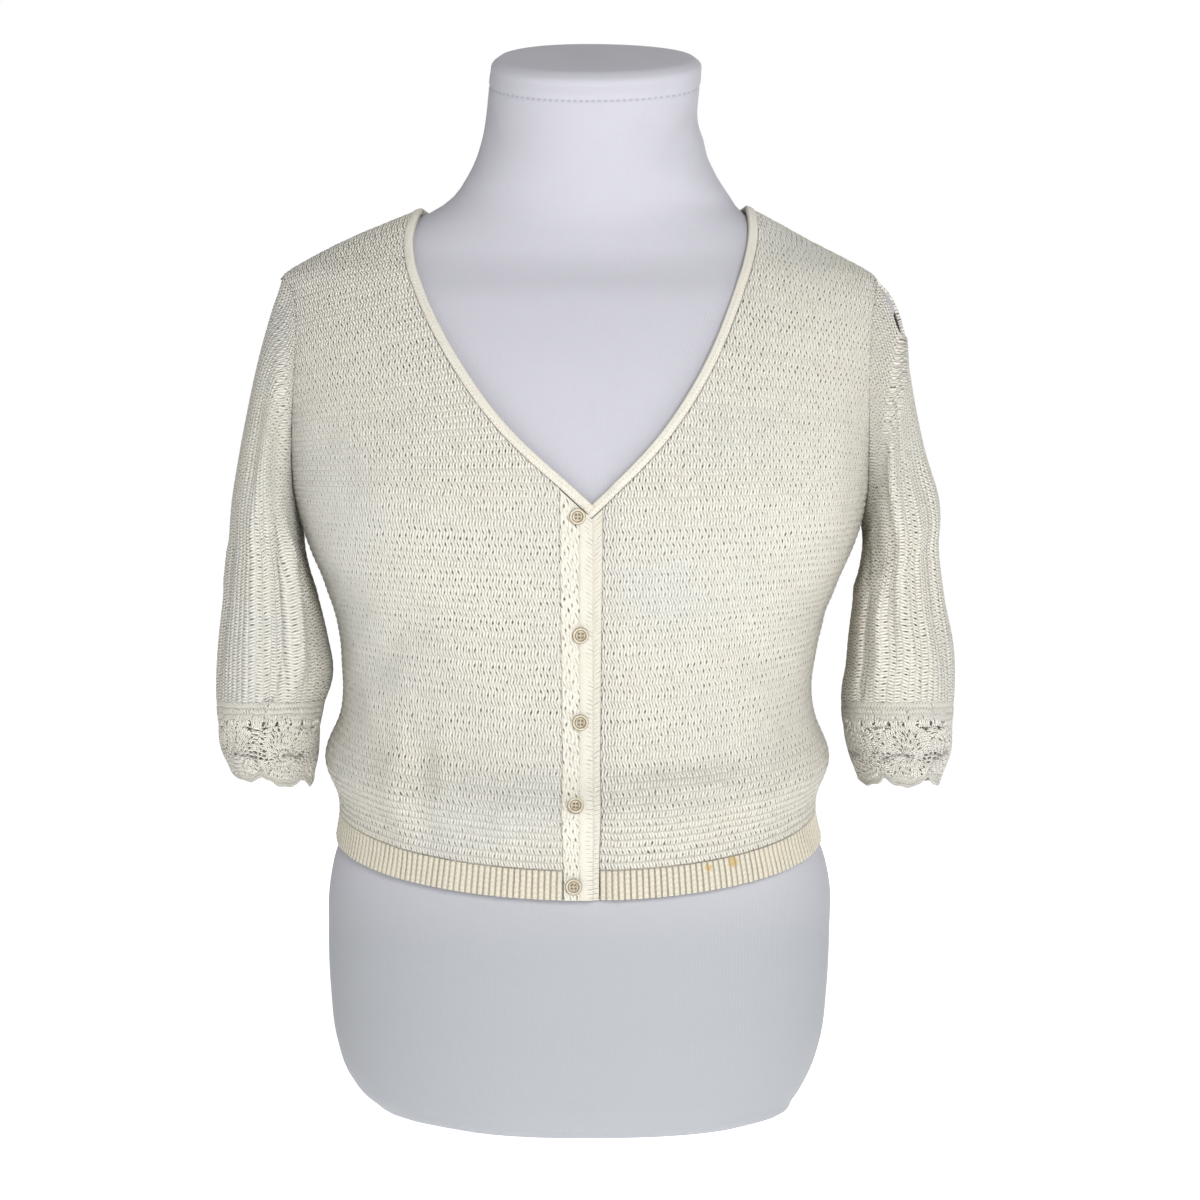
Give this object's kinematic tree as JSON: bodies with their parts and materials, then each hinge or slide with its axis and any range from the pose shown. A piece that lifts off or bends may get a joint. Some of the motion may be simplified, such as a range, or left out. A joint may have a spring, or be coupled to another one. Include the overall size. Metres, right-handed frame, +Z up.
{
  "type": "cardigan on a limbless dress form",
  "caption": "Short crochet-knit cardigan with a V neck, elbow sleeves open at the shoulder, lace cuffs and a ribbed hem, buttoned on a limbless dress form.",
  "frame": {"origin": "centre of the part's footprint, on the plane the dress form stands on", "axes": "+Z up, +X to the wearer's left, -Y towards the front where the buttons are"},
  "size_m": [0.5075, 0.263, 0.7492],
  "materials": {
    "knit": "cream cotton crochet knit, matte",
    "rib": "cream ribbed knit, matte",
    "lace": "cream crochet lace, matte",
    "trim": "cream fine-knit band and edging, matte",
    "button": "ivory, polished",
    "form_cover": "lavender-grey jersey, smooth"
  },
  "bodies": {
    "root": {"back": "knit", "front_right": "knit", "front_left": "knit", "sleeve_right": "knit", "sleeve_left": "knit", "cuff_right_front": "lace", "cuff_right_back": "lace", "cuff_left_front": "lace", "cuff_left_back": "lace", "rib_right": "rib", "rib_left": "rib", "rib_back": "rib", "band_right": "trim", "band_left": "trim", "edging_right": "trim", "edging_left": "trim", "edging_back": "trim", "button_1": "button", "button_2": "button", "button_3": "button", "button_4": "button", "button_5": "button", "dress_form": "form_cover"}
  },
  "joints": []
}
